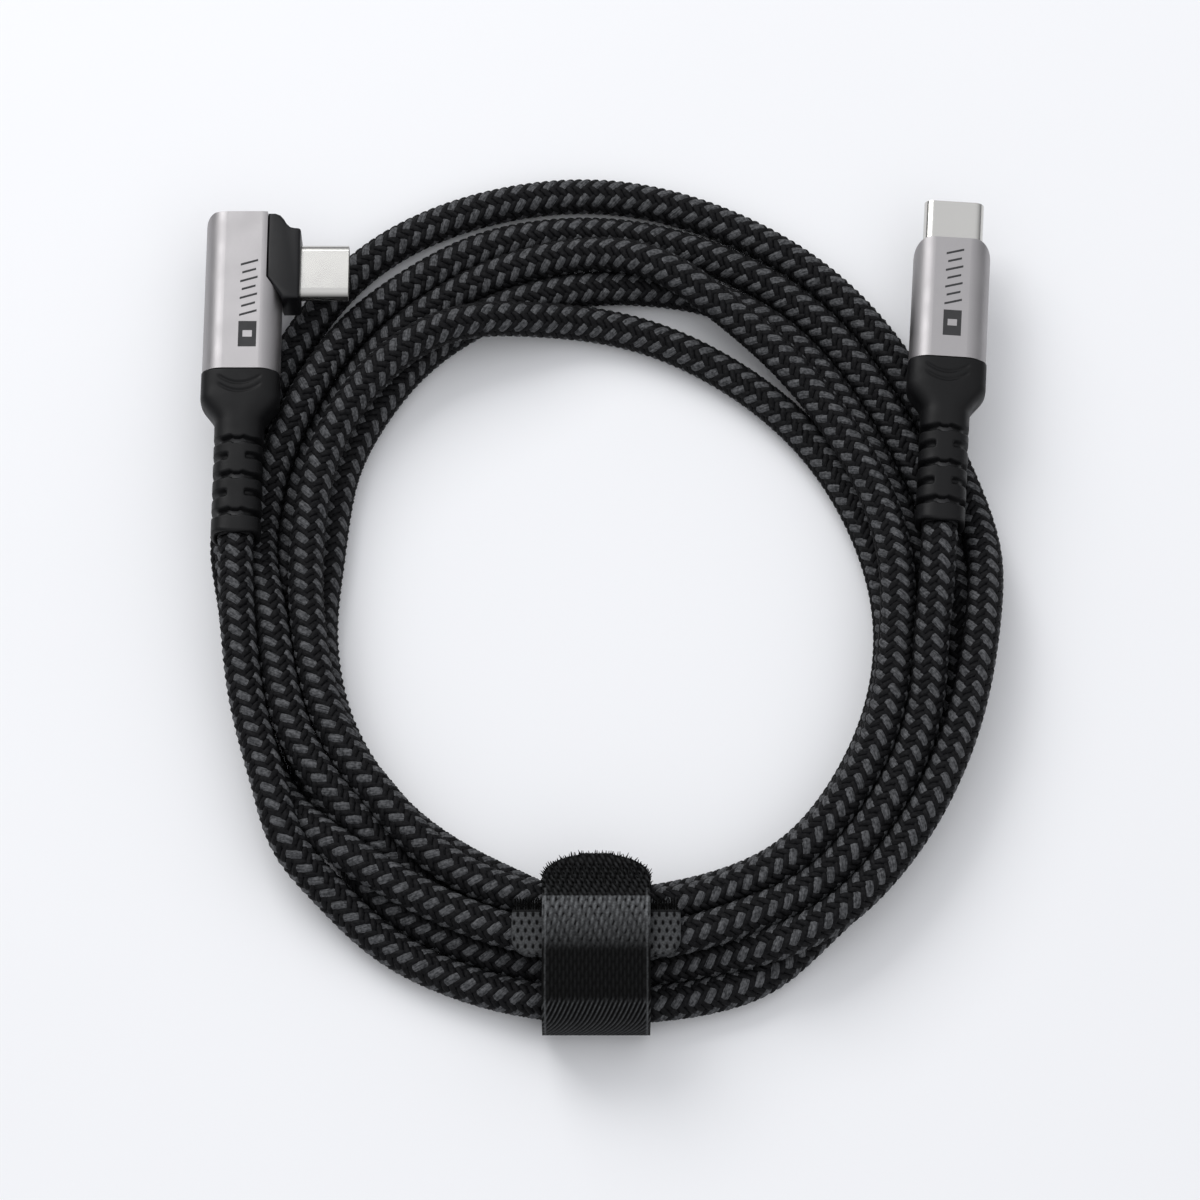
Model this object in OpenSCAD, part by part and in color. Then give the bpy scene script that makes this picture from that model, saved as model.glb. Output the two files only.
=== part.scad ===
// A braided charging cable with a right-angle plug and a straight plug, wound in a flat
// coil and held by a hook-and-loop strap. The coil lies on the floor plane, z = 0.
// The origin is on the floor, in the middle of the plugs and strap. +X is right and +Y
// is away from the strap. Each plug is drawn along +Y, from the end of its boot.

/* [Cord] */
// Diameter of the braided cord
cord_d = 5.0; // [4.8:0.1:5.1]
// Diameter of the cord where the braid is stripped for the crimp
stripped_d = 4.0; // [3.6:0.1:4.2]
// Height of the plugs' middle plane above the floor
plug_z = 9.0; // [9:0.1:10]

/* [Plug shell] */
// Width of the shell, outside
shell_w = 8.34; // [8.3:0.01:8.38]
// Height of the shell, outside
shell_h = 2.56; // [2.52:0.01:2.6]
// Thickness of the shell's sheet
shell_wall = 0.25; // [0.2:0.01:0.3]
// Length of shell that stands out of the plug
shell_out = 6.65; // [6.5:0.05:6.7]
// Length of shell held inside the plug
shell_in = 4.0; // [3.5:0.1:4.2]

/* [Contacts] */
// Contacts in each row
contact_count = 12; // [8:1:12]
// Distance between contacts
contact_pitch = 0.5; // [0.4:0.05:0.5]
// Width of one contact
contact_w = 0.24; // [0.2:0.01:0.3]
// Thickness of one contact
contact_t = 0.12; // [0.08:0.01:0.13]

/* [Housings] */
// Thickness of both housings
housing_t = 6.4; // [6.2:0.1:6.6]
// Radius of the housings' long edges
housing_r = 2.9; // [2.5:0.1:3]
// Wall of both housings
housing_wall = 0.75; // [0.6:0.05:0.8]
// Width of the straight housing
straight_w = 10.7; // [10.5:0.1:11]
// Length of the straight housing
straight_len = 18.4; // [18:0.1:19]
// Width of the angle housing at the boot
angle_w = 10.8; // [10.6:0.1:11]
// Length of the angle housing
angle_len = 24.2; // [24:0.1:24.6]

/* [Boots] */
// Length of both boots
boot_len = 24.4; // [24:0.1:25]
// Width of the boot's collar
collar_w = 10.9; // [10.6:0.1:11]
// Length of the boot's collar
collar_len = 3.8; // [3:0.1:4.5]
// Width of the boot's stem
stem_w = 6.8; // [6.6:0.1:7.2]
// Thickness of the boot's stem
stem_t = 6.4; // [6.2:0.1:6.4]
// Width of each groove across the stem
groove_w = 0.7; // [0.4:0.1:1]

/* [Strap] */
// Width of the strap
strap_w = 14.2; // [12:0.1:16]
// Thickness of each of the strap's two cloths
cloth_t = 0.55; // [0.4:0.05:0.6]
// Width of the strap's T-shaped head
head_w = 22.2; // [20:0.1:24]
// Length of the strap's T-shaped head
head_len = 7.2; // [6:0.1:8]

/* [Hidden] */
$fn = 48;

// Places: the end of each boot, and how far the straight plug leans to the right
angle_pos = [-49.1, 9.8, plug_z];
straight_pos = [46.8, 11.6, plug_z];
straight_lean = 4;

// Along each plug, from the end of its boot
front_straight = boot_len + straight_len;
top_angle = boot_len + angle_len;

// The angle plug's outline: its shell points along +X
step_x = 3.25;
face_x = 7.9;
mouth_y = top_angle - 8.1;
chamfer_low_y = top_angle - 13.0;
chamfer_top_y = top_angle - 10.1;

// Fits
gap = 0.05;
over = 1;

// Inside the plugs
cavity_w = straight_w - 2 * housing_wall;
cavity_t = housing_t - 2 * housing_wall;
cavity_r = housing_r - housing_wall;
board_t = 0.64;
board_back = boot_len + 5.6;
slot_w = 6.8;
slot_h = board_t + 2 * contact_t;
insulator_w = shell_w - 2 * shell_wall - 2 * gap;
insulator_h = shell_h - 2 * shell_wall - 2 * gap;
ferrule_len = 4;
mould_back = board_back - 0.9;
wire_d = 0.85;

// Coil: radii from its middle at every 30 degrees, counted anticlockwise from +X
coil_c = [0.5, 2.5];
low_outer = [53.6, 56.3, 60.8, 64.3, 63.2, 55.2, 51, 53, 59.4, 60.8, 59.4, 55.9];
low_inner = [36.2, 36, 36.2, 40.2, 42.5, 37.7, 35.5, 37.3, 39, 40.5, 41, 39.2];
top_outer = [42.4, 44, 48.6, 54.5, 53, 48, 45.9, 55, 59.4, 60.4, 58, 54.5];
top_inner = [37.4, 39.2, 43.5, 47.5, 45, 38.4, 35.5, 37.5, 40.2, 41, 41.5, 39.5];
coil_mid_z = cord_d;
coil_top_z = 10.2;
steps_between = 6;

// Routes of the two free ends, from the boot to the coil
route_angle = [
    [-49.1, 9.8, 9], [-49, 5, 9], [-48.7, 0, 8.9], [-48.2, -5, 8.7], [-47.5, -10, 8.4],
    [-46.6, -15, 8.1], [-45.4, -20, 7.8]
];
route_straight = [
    [46.8, 11.6, 9], [46.45, 6.6, 9], [46, 1.6, 8.9], [45.4, -3, 8.7], [44.6, -8, 8.5],
    [43.7, -12, 8.4]
];
cord_sides = 12;

// Strap: its section round the bundle, in Y and Z
strap_t = 2 * cloth_t;
band_y0 = -60;
band_y1 = -36.9;
band_top = 11.6;
band_r = 4.2;
head_y0 = -50.6;
crease_y = -56.6;
tail_end_y = -36.2;
lift = 0.15;
tail_z = band_top + lift;
crease_z = tail_z + strap_t / 2;

// ---- shared shapes ----

module stadium(w, h) {
    square([w - h, h], center = true);
    for (side = [-1, 1])
        translate([side * (w - h) / 2, 0])
            circle(d = h);
}

module rounded(w, h, r) {
    square([w - 2 * r, h], center = true);
    square([w, h - 2 * r], center = true);
    for (x = [-1, 1], y = [-1, 1])
        translate([x * (w / 2 - r), y * (h / 2 - r)])
            circle(r = r);
}

// Extrudes a shape drawn in X and Z along +Y
module along_y(y0, y1) {
    translate([0, y1, 0])
        rotate([90, 0, 0])
            linear_extrude(y1 - y0)
                children();
}

// Extrudes a shape drawn in Y and Z along +X
module along_x(x0, x1) {
    translate([x0, 0, 0])
        rotate([90, 0, 90])
            linear_extrude(x1 - x0)
                children();
}

module box(x0, x1, y0, y1, z0, z1) {
    translate([x0, y0, z0])
        cube([x1 - x0, y1 - y0, z1 - z0]);
}

module at_angle() {
    translate(angle_pos)
        children();
}

module at_straight() {
    translate(straight_pos)
        rotate([0, 0, -straight_lean])
            children();
}

// The mouth frames: the front face's middle, with the shell standing out along +Y
module at_angle_mouth() {
    at_angle()
        translate([face_x, mouth_y, 0])
            rotate([0, 0, -90])
                children();
}

module at_straight_mouth() {
    at_straight()
        translate([0, front_straight, 0])
            children();
}

// ---- the metal mouth and what it holds, drawn in the mouth frame ----

module shell_body() {
    difference() {
        along_y(-shell_in, shell_out)
            stadium(shell_w, shell_h);
        along_y(-shell_in - over, shell_out + over)
            stadium(shell_w - 2 * shell_wall, shell_h - 2 * shell_wall);
    }
}

module insulator_body() {
    spring_y = shell_out - 2.4;
    difference() {
        along_y(gap - shell_in, shell_out - 0.2)
            stadium(insulator_w, insulator_h);
        along_y(-shell_in - over, shell_out + over)
            square([slot_w, slot_h], center = true);
        for (side = [-1, 1])
            box(-2.6, 2.6, spring_y, spring_y + 2, side * 0.92 - 0.1, side * 0.92 + 0.1);
    }
}

module contact_row(side) {
    z = side * (slot_h - contact_t) / 2;
    for (i = [0 : contact_count - 1])
        translate([(i - (contact_count - 1) / 2) * contact_pitch, 0, z])
            box(-contact_w / 2, contact_w / 2, -shell_in - 1.5, shell_out - 1.2,
                -contact_t / 2, contact_t / 2);
}

module latch_body() {
    arm_out = slot_w / 2 - gap;
    arm_t = 0.3;
    half_t = 0.1;
    back = 0.2 - shell_in;
    box(-arm_out, arm_out, back, back + 1, -half_t, half_t);
    for (side = [-1, 1]) {
        box(side * arm_out - (side > 0 ? arm_t : 0), side * arm_out + (side < 0 ? arm_t : 0),
            back, shell_out - 1, -half_t, half_t);
    }
}

module ground_spring_body() {
    spring_y = shell_out - 2.3;
    finger_w = 1.1;
    for (side = [-1, 1], i = [-1, 0, 1])
        translate([i * 1.6, spring_y, side * 0.92])
            box(-finger_w / 2, finger_w / 2, 0, 1.7, -0.05, 0.05);
}

// ---- board, chip, wires and crimp, drawn along the plug ----

module board_body(x0, x1, y0, y1) {
    box(x0, x1, y0, y1, -board_t / 2, board_t / 2);
}

module chip_body(x, y) {
    side = 2.6;
    chip_t = 0.7;
    translate([x - side / 2, y - side / 2, board_t / 2])
        cube([side, side, chip_t]);
}

module board_parts_body(x, y) {
    for (i = [0 : 2])
        translate([x + i * 1.2, y, board_t / 2])
            cube([0.6, 1.1, 0.5]);
    for (i = [0 : 1])
        translate([x + i * 1.6, y, -board_t / 2 - 0.5])
            cube([0.8, 1.4, 0.5]);
}

module conductors_body() {
    z = (board_t + wire_d) / 2;
    for (x = [-1.25, 0, 1.25], side = [-1, 1])
        translate([x, 0, side * z])
            along_y(boot_len + ferrule_len + 0.6, board_back + 1.8)
                circle(d = wire_d - gap);
}

module ferrule_body() {
    difference() {
        along_y(boot_len + 0.5, boot_len + 0.5 + ferrule_len)
            circle(d = cavity_t - 2 * gap);
        along_y(boot_len, boot_len + over + ferrule_len)
            circle(d = stripped_d + 2 * gap);
    }
}

module cord_stub_body() {
    along_y(0, boot_len)
        circle(d = cord_d);
    along_y(boot_len, boot_len + ferrule_len + 0.55)
        circle(d = stripped_d);
}

module boot_body() {
    groove_ys = [2.6, 8.1, 13.4];
    slot_ys = [5.4, 10.8];
    neck_y = boot_len - 7.6;
    core_w = stem_w - 1;
    core_t = stem_t - 0.7;
    difference() {
        union() {
            along_y(boot_len - collar_len, boot_len)
                rounded(collar_w, housing_t, housing_r);
            hull() {
                along_y(boot_len - collar_len - 0.1, boot_len - collar_len)
                    rounded(collar_w, housing_t, housing_r, $fn = 32);
                along_y(neck_y, neck_y + 0.1)
                    rounded(stem_w, stem_t, housing_r, $fn = 32);
            }
            along_y(0, neck_y + 0.1)
                rounded(stem_w, stem_t, housing_r);
        }
        along_y(-over, boot_len + over)
            circle(d = cord_d + 2 * gap);
        for (y = groove_ys)
            along_y(y, y + groove_w)
                difference() {
                    square(2 * stem_w, center = true);
                    rounded(core_w, core_t, housing_r - 0.4);
                }
        for (y = slot_ys, side = [-1, 1])
            translate([side * stem_w / 2, y, 0])
                box(-0.5, 0.5, 0, groove_w, -stem_t, stem_t);
    }
}

// ---- straight plug's housing and mould ----

module straight_housing_body() {
    corner_r = 2.2;
    difference() {
        intersection() {
            along_y(boot_len, front_straight)
                rounded(straight_w, housing_t, housing_r);
            translate([0, front_straight - straight_len, -housing_t])
                linear_extrude(2 * housing_t)
                    rounded(straight_w, 2 * straight_len, corner_r);
        }
        along_y(boot_len - over, front_straight - over)
            rounded(cavity_w, cavity_t, cavity_r);
        along_y(front_straight - 2 * over, front_straight + over)
            stadium(shell_w + 2 * gap, shell_h + 2 * gap);
    }
}

module straight_mould_body() {
    difference() {
        along_y(mould_back, front_straight - over - gap)
            rounded(cavity_w - 2 * gap, cavity_t - 2 * gap, cavity_r - gap);
        box(-shell_w / 2 - gap, shell_w / 2 + gap, mould_back - over, front_straight,
            -shell_h / 2 - gap, shell_h / 2 + gap);
    }
}

// ---- angle plug's housing, corner block and mould ----

module angle_plan() {
    corner_r = 1.5;
    left = -angle_w / 2;
    polygon([
        [left, boot_len], [angle_w / 2, boot_len], [angle_w / 2, chamfer_low_y],
        [step_x, chamfer_top_y], [step_x, top_angle], [left + corner_r, top_angle],
        [left, top_angle - corner_r]
    ]);
    translate([left + corner_r, top_angle - corner_r])
        circle(r = corner_r);
}

module angle_housing_body() {
    difference() {
        intersection() {
            along_y(boot_len, top_angle)
                rounded(angle_w, housing_t, housing_r);
            translate([0, 0, -housing_t])
                linear_extrude(2 * housing_t)
                    angle_plan();
        }
        along_y(boot_len - over, top_angle - over)
            rounded(cavity_w, cavity_t, cavity_r);
    }
}

module corner_plan() {
    shoulder_y = top_angle - 2.3;
    polygon([
        [step_x + gap, chamfer_top_y + gap], [step_x + gap, top_angle - 0.1],
        [step_x + 1.2, top_angle - 0.1], [step_x + 1.9, top_angle - 0.4],
        [step_x + 2.6, top_angle - 1.4], [step_x + 3.4, shoulder_y],
        [face_x, shoulder_y], [face_x, chamfer_low_y - 0.4],
        [angle_w / 2 + gap, chamfer_low_y - 0.4], [angle_w / 2 + gap, chamfer_low_y]
    ]);
}

module corner_block_body() {
    pocket_x = face_x - over;
    difference() {
        translate([0, 0, gap - housing_t / 2])
            linear_extrude(housing_t - 2 * gap)
                corner_plan();
        box(0, pocket_x, mouth_y - shell_w / 2 - gap, mouth_y + shell_w / 2 + gap,
            -shell_h / 2 - gap, shell_h / 2 + gap);
        translate([0, mouth_y, 0])
            along_x(pocket_x - over, face_x + over)
                stadium(shell_w + 2 * gap, shell_h + 2 * gap);
    }
}

module angle_mould_body() {
    difference() {
        along_y(mould_back, top_angle - over - gap)
            rounded(cavity_w - 2 * gap, cavity_t - 2 * gap, cavity_r - gap);
        box(-shell_w / 2 - gap, angle_w, mould_back - over, mouth_y + shell_w / 2 + gap,
            -shell_h / 2 - gap, shell_h / 2 + gap);
        box(step_x - 0.1, angle_w, chamfer_low_y - 1, top_angle, -housing_t, housing_t);
    }
}

// ---- coil and the two free ends of the cord ----

// A smooth closed curve through twelve radii, read at station i and fraction t
function smooth(r, i, t) =
    let (a = r[(i + 11) % 12], b = r[i], c = r[(i + 1) % 12], d = r[(i + 2) % 12])
    b + t / 2 * (c - a + t * (2 * a - 5 * b + 4 * c - d + t * (3 * (b - c) + d - a)));

function outline(r) = [
    for (i = [0 : 11], s = [0 : steps_between - 1])
        let (t = s / steps_between, a = 30 * (i + t), q = smooth(r, i, t))
            coil_c + q * [cos(a), sin(a)]
];

module ring(outer, inner) {
    difference() {
        polygon(outline(outer));
        polygon(outline(inner));
    }
}

// The room inside the strap, in Y and Z, which the squeezed bundle fills
module bundle_room(shrink) {
    mid_y = (band_y0 + band_y1) / 2;
    inset = 2 * (strap_t + shrink);
    translate([mid_y, band_top / 2])
        rounded(band_y1 - band_y0 - inset, band_top - inset, band_r - strap_t);
}

module coil_body() {
    difference() {
        union() {
            linear_extrude(coil_mid_z)
                ring(low_outer, low_inner);
            translate([0, 0, coil_mid_z])
                linear_extrude(coil_top_z - coil_mid_z)
                    ring(top_outer, top_inner);
        }
        difference() {
            box(-head_w / 2 - gap, head_w / 2 + gap, band_y0 - 5, band_y1 + 5, -over, 20);
            along_x(-head_w, head_w)
                bundle_room(gap);
        }
    }
}

function tangent(route, i) =
    let (n = len(route) - 1, v = route[min(i + 1, n)] - route[max(i - 1, 0)])
    v / norm(v);

function ring_at(route, i) =
    let (t = tangent(route, i), u = cross(t, [0, 0, 1]), side = u / norm(u), up = cross(side, t))
    [for (k = [0 : cord_sides - 1])
        let (a = 360 * k / cord_sides)
            route[i] + cord_d / 2 * (cos(a) * side + sin(a) * up)];

module swept_cord(route) {
    n = len(route);
    s = cord_sides;
    points = [for (i = [0 : n - 1]) each ring_at(route, i)];
    walls = [
        for (i = [0 : n - 2], k = [0 : s - 1])
            let (a = i * s + k, b = i * s + (k + 1) % s)
                each [[a, a + s, b + s], [a, b + s, b]]
    ];
    first = [for (k = [0 : s - 1]) k];
    last = [for (k = [s - 1 : -1 : 0]) (n - 1) * s + k];
    polyhedron(points, concat(walls, [first, last]));
}

// ---- strap ----

// One cloth of the band: a closed loop in Y and Z, from depth d0 to depth d1
module cloth_loop(d0, d1) {
    mid_y = (band_y0 + band_y1) / 2;
    len_y = band_y1 - band_y0;
    translate([mid_y, band_top / 2])
        difference() {
            rounded(len_y - 2 * d0, band_top - 2 * d0, band_r - d0);
            rounded(len_y - 2 * d1, band_top - 2 * d1, band_r - d1);
        }
}

module band_cloth(d0, d1) {
    head_r = 2;
    difference() {
        along_x(-strap_w / 2, strap_w / 2)
            cloth_loop(d0, d1);
        box(-strap_w, strap_w, crease_y - 0.6, head_y0, band_top - strap_t - 0.6, 20);
    }
    for (side = [-1, 1])
        intersection() {
            translate([0, head_y0 + head_len / 2, band_top - d1])
                linear_extrude(d1 - d0)
                    rounded(head_w, head_len, head_r);
            box(side > 0 ? strap_w / 2 : -head_w, side > 0 ? head_w : -strap_w / 2,
                head_y0 - 1, head_y0 + head_len + 1, 0, 20);
        }
}

// One cloth of the tail, drawn in from the strap's edges and from the crease
module tail_cloth(z, inset, back) {
    half_w = strap_w / 2 - inset;
    end_r = 3;
    translate([0, 0, z])
        linear_extrude(cloth_t) {
            translate([-half_w, crease_y + back])
                square([2 * half_w, tail_end_y - crease_y - back - end_r]);
            translate([0, tail_end_y - inset - end_r])
                rounded(2 * half_w, 2 * end_r, end_r - 0.1);
        }
}

module crease_roll() {
    translate([0, crease_y, crease_z])
        along_x(-strap_w / 2, strap_w / 2)
            circle(d = strap_t);
}

// ---- one module for each piece ----

module angle_plug_shell() { color("lightgray") at_angle_mouth() shell_body(); }
module angle_insulator() { color("black") at_angle_mouth() insulator_body(); }
module angle_upper_contacts() { color("gold") at_angle_mouth() contact_row(1); }
module angle_lower_contacts() { color("gold") at_angle_mouth() contact_row(-1); }
module angle_latch_plate() { color("silver") at_angle_mouth() latch_body(); }
module angle_ground_springs() { color("silver") at_angle_mouth() ground_spring_body(); }
module angle_paddle_board() {
    edge_x = face_x - shell_in - 0.2;
    color("darkgreen") at_angle() board_body(-4, edge_x, board_back, mouth_y + 4);
}
module angle_emarker_chip() { color("dimgray") at_angle() chip_body(-1.4, board_back + 7); }
module angle_board_parts() { color("tan") at_angle() board_parts_body(-2.6, board_back + 3.4); }
module angle_conductors() { color("firebrick") at_angle() conductors_body(); }
module angle_crimp_ferrule() { color("goldenrod") at_angle() ferrule_body(); }
module angle_cord_stub() { color([0.12, 0.13, 0.14]) at_angle() cord_stub_body(); }
module angle_inner_mould() { color("whitesmoke") at_angle() angle_mould_body(); }
module angle_housing() { color([0.74, 0.74, 0.76]) at_angle() angle_housing_body(); }
module angle_corner_block() { color([0.16, 0.16, 0.17]) at_angle() corner_block_body(); }
module angle_boot() { color([0.18, 0.18, 0.19]) at_angle() boot_body(); }

module straight_plug_shell() { color("lightgray") at_straight_mouth() shell_body(); }
module straight_insulator() { color("black") at_straight_mouth() insulator_body(); }
module straight_upper_contacts() { color("gold") at_straight_mouth() contact_row(1); }
module straight_lower_contacts() { color("gold") at_straight_mouth() contact_row(-1); }
module straight_latch_plate() { color("silver") at_straight_mouth() latch_body(); }
module straight_ground_springs() { color("silver") at_straight_mouth() ground_spring_body(); }
module straight_paddle_board() {
    edge_y = front_straight - shell_in - 0.2;
    color("darkgreen") at_straight() board_body(-4, 4, board_back, edge_y);
}
module straight_emarker_chip() { color("dimgray") at_straight() chip_body(-2.4, board_back + 4.6); }
module straight_board_parts() { color("tan") at_straight() board_parts_body(0.2, board_back + 3.6); }
module straight_conductors() { color("firebrick") at_straight() conductors_body(); }
module straight_crimp_ferrule() { color("goldenrod") at_straight() ferrule_body(); }
module straight_cord_stub() { color([0.12, 0.13, 0.14]) at_straight() cord_stub_body(); }
module straight_inner_mould() { color("whitesmoke") at_straight() straight_mould_body(); }
module straight_housing() { color([0.74, 0.74, 0.76]) at_straight() straight_housing_body(); }
module straight_boot() { color([0.18, 0.18, 0.19]) at_straight() boot_body(); }

module cord_coil() { color([0.1, 0.11, 0.12]) coil_body(); }
module cord_end_angle() { color([0.12, 0.13, 0.14]) swept_cord(route_angle); }
module cord_end_straight() { color([0.12, 0.13, 0.14]) swept_cord(route_straight); }

module strap_band_loops() { color([0.2, 0.2, 0.2]) band_cloth(cloth_t, strap_t); }
module strap_band_hooks() { color([0.08, 0.08, 0.08]) band_cloth(0, cloth_t); }
module strap_tail_loops() { color([0.2, 0.2, 0.2]) tail_cloth(tail_z, 0.3, strap_t / 2 + gap); }
module strap_tail_hooks() {
    color([0.08, 0.08, 0.08]) {
        tail_cloth(tail_z + cloth_t, 0, 0);
        crease_roll();
    }
}

angle_plug_shell();
angle_insulator();
angle_upper_contacts();
angle_lower_contacts();
angle_latch_plate();
angle_ground_springs();
angle_paddle_board();
angle_emarker_chip();
angle_board_parts();
angle_conductors();
angle_crimp_ferrule();
angle_cord_stub();
angle_inner_mould();
angle_housing();
angle_corner_block();
angle_boot();
straight_plug_shell();
straight_insulator();
straight_upper_contacts();
straight_lower_contacts();
straight_latch_plate();
straight_ground_springs();
straight_paddle_board();
straight_emarker_chip();
straight_board_parts();
straight_conductors();
straight_crimp_ferrule();
straight_cord_stub();
straight_inner_mould();
straight_housing();
straight_boot();
cord_coil();
cord_end_angle();
cord_end_straight();
strap_band_loops();
strap_band_hooks();
strap_tail_loops();
strap_tail_hooks();
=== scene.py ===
# %% [markdown]
# # A braided charging cable
# The cable is a braided cord with a plug at each end. It is wound into a flat coil and
# held by a hook-and-loop strap. The CAD model already fixes where every part lies, so
# this script never moves a part. It gives each one its finish, and where the plain CAD
# solid only stands in for something soft or detailed it makes the real shape there.

import math

import bmesh
import bpy
import numpy as np
from mathutils import Matrix, Vector


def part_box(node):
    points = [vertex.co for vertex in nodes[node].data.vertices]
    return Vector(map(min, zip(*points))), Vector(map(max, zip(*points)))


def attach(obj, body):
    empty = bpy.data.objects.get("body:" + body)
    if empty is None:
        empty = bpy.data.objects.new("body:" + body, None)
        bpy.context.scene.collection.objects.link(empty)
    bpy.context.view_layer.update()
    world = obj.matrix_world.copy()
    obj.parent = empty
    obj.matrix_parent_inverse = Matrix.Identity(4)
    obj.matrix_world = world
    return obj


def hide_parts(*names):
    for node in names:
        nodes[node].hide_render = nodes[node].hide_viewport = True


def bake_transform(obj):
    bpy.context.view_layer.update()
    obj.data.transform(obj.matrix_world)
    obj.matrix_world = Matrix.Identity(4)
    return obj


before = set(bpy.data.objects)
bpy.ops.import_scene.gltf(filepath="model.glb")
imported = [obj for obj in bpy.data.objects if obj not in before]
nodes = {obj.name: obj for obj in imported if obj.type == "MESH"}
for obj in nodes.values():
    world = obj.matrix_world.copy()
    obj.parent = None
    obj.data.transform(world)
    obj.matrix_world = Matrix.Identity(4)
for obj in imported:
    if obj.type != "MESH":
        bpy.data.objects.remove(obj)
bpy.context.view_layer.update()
MM = 0.001
CABLE = "coiled_cable"
TAIL = "strap_tail"

# %% [markdown]
# ## Camera
# The camera looks down at the coil from the strap's side. A long lens keeps the two
# plugs at nearly the same size. Its place follows from what it looks at, how steeply it
# looks down and how far away it is.

# %% Camera
look_at = Vector((0.5, 4.6, 0)) * MM
look_down = math.radians(67)
distance = 640 * MM
view_width = 165 * MM

camera = bpy.data.objects.new("camera", bpy.data.cameras.new("camera"))
camera.data.sensor_width = 36
camera.data.lens = camera.data.sensor_width * distance / view_width
back = Vector((0, -math.cos(look_down), math.sin(look_down)))
camera.location = look_at + distance * back
camera.rotation_euler = (math.pi / 2 - look_down, 0, 0)
bpy.context.scene.collection.objects.link(camera)
bpy.context.scene.camera = camera
print("lens, mm:", round(camera.data.lens, 1))

# %% [markdown]
# ## Small helpers
# Every finish starts from one Principled shader, and every new piece ends in the same
# few calls: it is linked to the scene, given its finish, and tied to a body of the CAD
# model so that it moves with it.

# %% Helpers for finishes and pieces
def new_finish(name, **values):
    """A material with one Principled shader, and the values that are the same all over it."""
    finish = bpy.data.materials.new(name)
    finish.use_nodes = True
    shader = finish.node_tree.nodes["Principled BSDF"]
    for socket, value in values.items():
        shader.inputs[socket.replace("_", " ")].default_value = value
    return finish, finish.node_tree, shader


def add_node(tree, kind, **settings):
    """One shader node. A setting that isn't a property of the node is an input's value."""
    node = tree.nodes.new(kind)
    for name, value in settings.items():
        if hasattr(node, name):
            setattr(node, name, value)
        else:
            node.inputs[name.replace("_", " ")].default_value = value
    return node


def wire(tree, *links):
    """Joins nodes. Each link is a node, its output, the next node and its input."""
    for source, output, target, socket in links:
        tree.links.new(source.outputs[output], target.inputs[socket])


def show(piece, finish, body, smooth=True):
    """Puts a finished piece in the scene, on its body, with its finish."""
    if piece.name not in bpy.context.scene.collection.objects:
        bpy.context.scene.collection.objects.link(piece)
    piece.data.materials.clear()
    piece.data.materials.append(finish)
    if smooth and piece.type == "MESH":
        piece.data.shade_smooth()
    if body is not None:
        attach(piece, body)
    return piece


def finished_mesh(name, shape):
    """Turns a bmesh into an object with that name, and frees the bmesh."""
    piece = bpy.data.objects.new(name, bpy.data.meshes.new(name))
    shape.to_mesh(piece.data)
    shape.free()
    return piece


# %% [markdown]
# ## Floor
# The cable lies on a plain pale sheet. A flat grid a few metres wide is enough, because
# its edges are far out of view. It lies a hair below the cable, so that nothing flickers
# where they touch, and a slow drift between two near whites keeps it from looking drawn.

# %% Floor
floor_width = 3.0
floor_drop = 0.05 * MM
paper, paper_tree, paper_shader = new_finish("pale_paper", Roughness=0.9)
grain = add_node(paper_tree, "ShaderNodeTexNoise", Scale=60.0, Detail=3.0)
tint = add_node(paper_tree, "ShaderNodeMix", data_type="RGBA")
tint.inputs["A"].default_value = (0.905, 0.91, 0.925, 1)
tint.inputs["B"].default_value = (0.925, 0.93, 0.945, 1)
wire(paper_tree, (grain, "Fac", tint, "Factor"), (tint, "Result", paper_shader, "Base Color"))

sheet = bmesh.new()
bmesh.ops.create_grid(sheet, x_segments=1, y_segments=1, size=floor_width / 2)
bmesh.ops.translate(sheet, verts=sheet.verts, vec=(0, 0, -floor_drop))
floor = finished_mesh("floor", sheet)
show(floor, paper, None)
print("floor width, m:", floor_width)

# %% [markdown]
# ## Lamps
# One broad lamp stands behind and above the cable, so the soft shadows fall towards the
# viewer. A weak one in front opens the shadows. Area lamps were chosen, because their
# size is what softens the edge of a shadow.


# %% Lamps
def add_lamp(name, place, size, watts, colour=(1, 1, 1)):
    """A square lamp that faces the coil."""
    lamp = bpy.data.objects.new(name, bpy.data.lights.new(name, "AREA"))
    lamp.data.size = size
    lamp.data.energy = watts
    lamp.data.color = colour
    lamp.location = place
    lamp.rotation_euler = (look_at - Vector(place)).to_track_quat("-Z", "Y").to_euler()
    bpy.context.scene.collection.objects.link(lamp)
    return lamp


lamps = [
    add_lamp("lamp_behind", (-0.42, 0.62, 0.66), size=0.6, watts=4.2),
    add_lamp("lamp_front", (0.5, -0.5, 0.9), size=0.8, watts=1.0),
]
print("lamps, W:", [round(lamp.data.energy, 1) for lamp in lamps])

# %% [markdown]
# ## Sky
# The rest of the light comes from all round. A studio is bright overhead and dim near
# the floor, and the dim part is what gives black rubber and metal their dark edges. So
# the sky's strength rises with the height of the direction one looks in.

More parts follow.
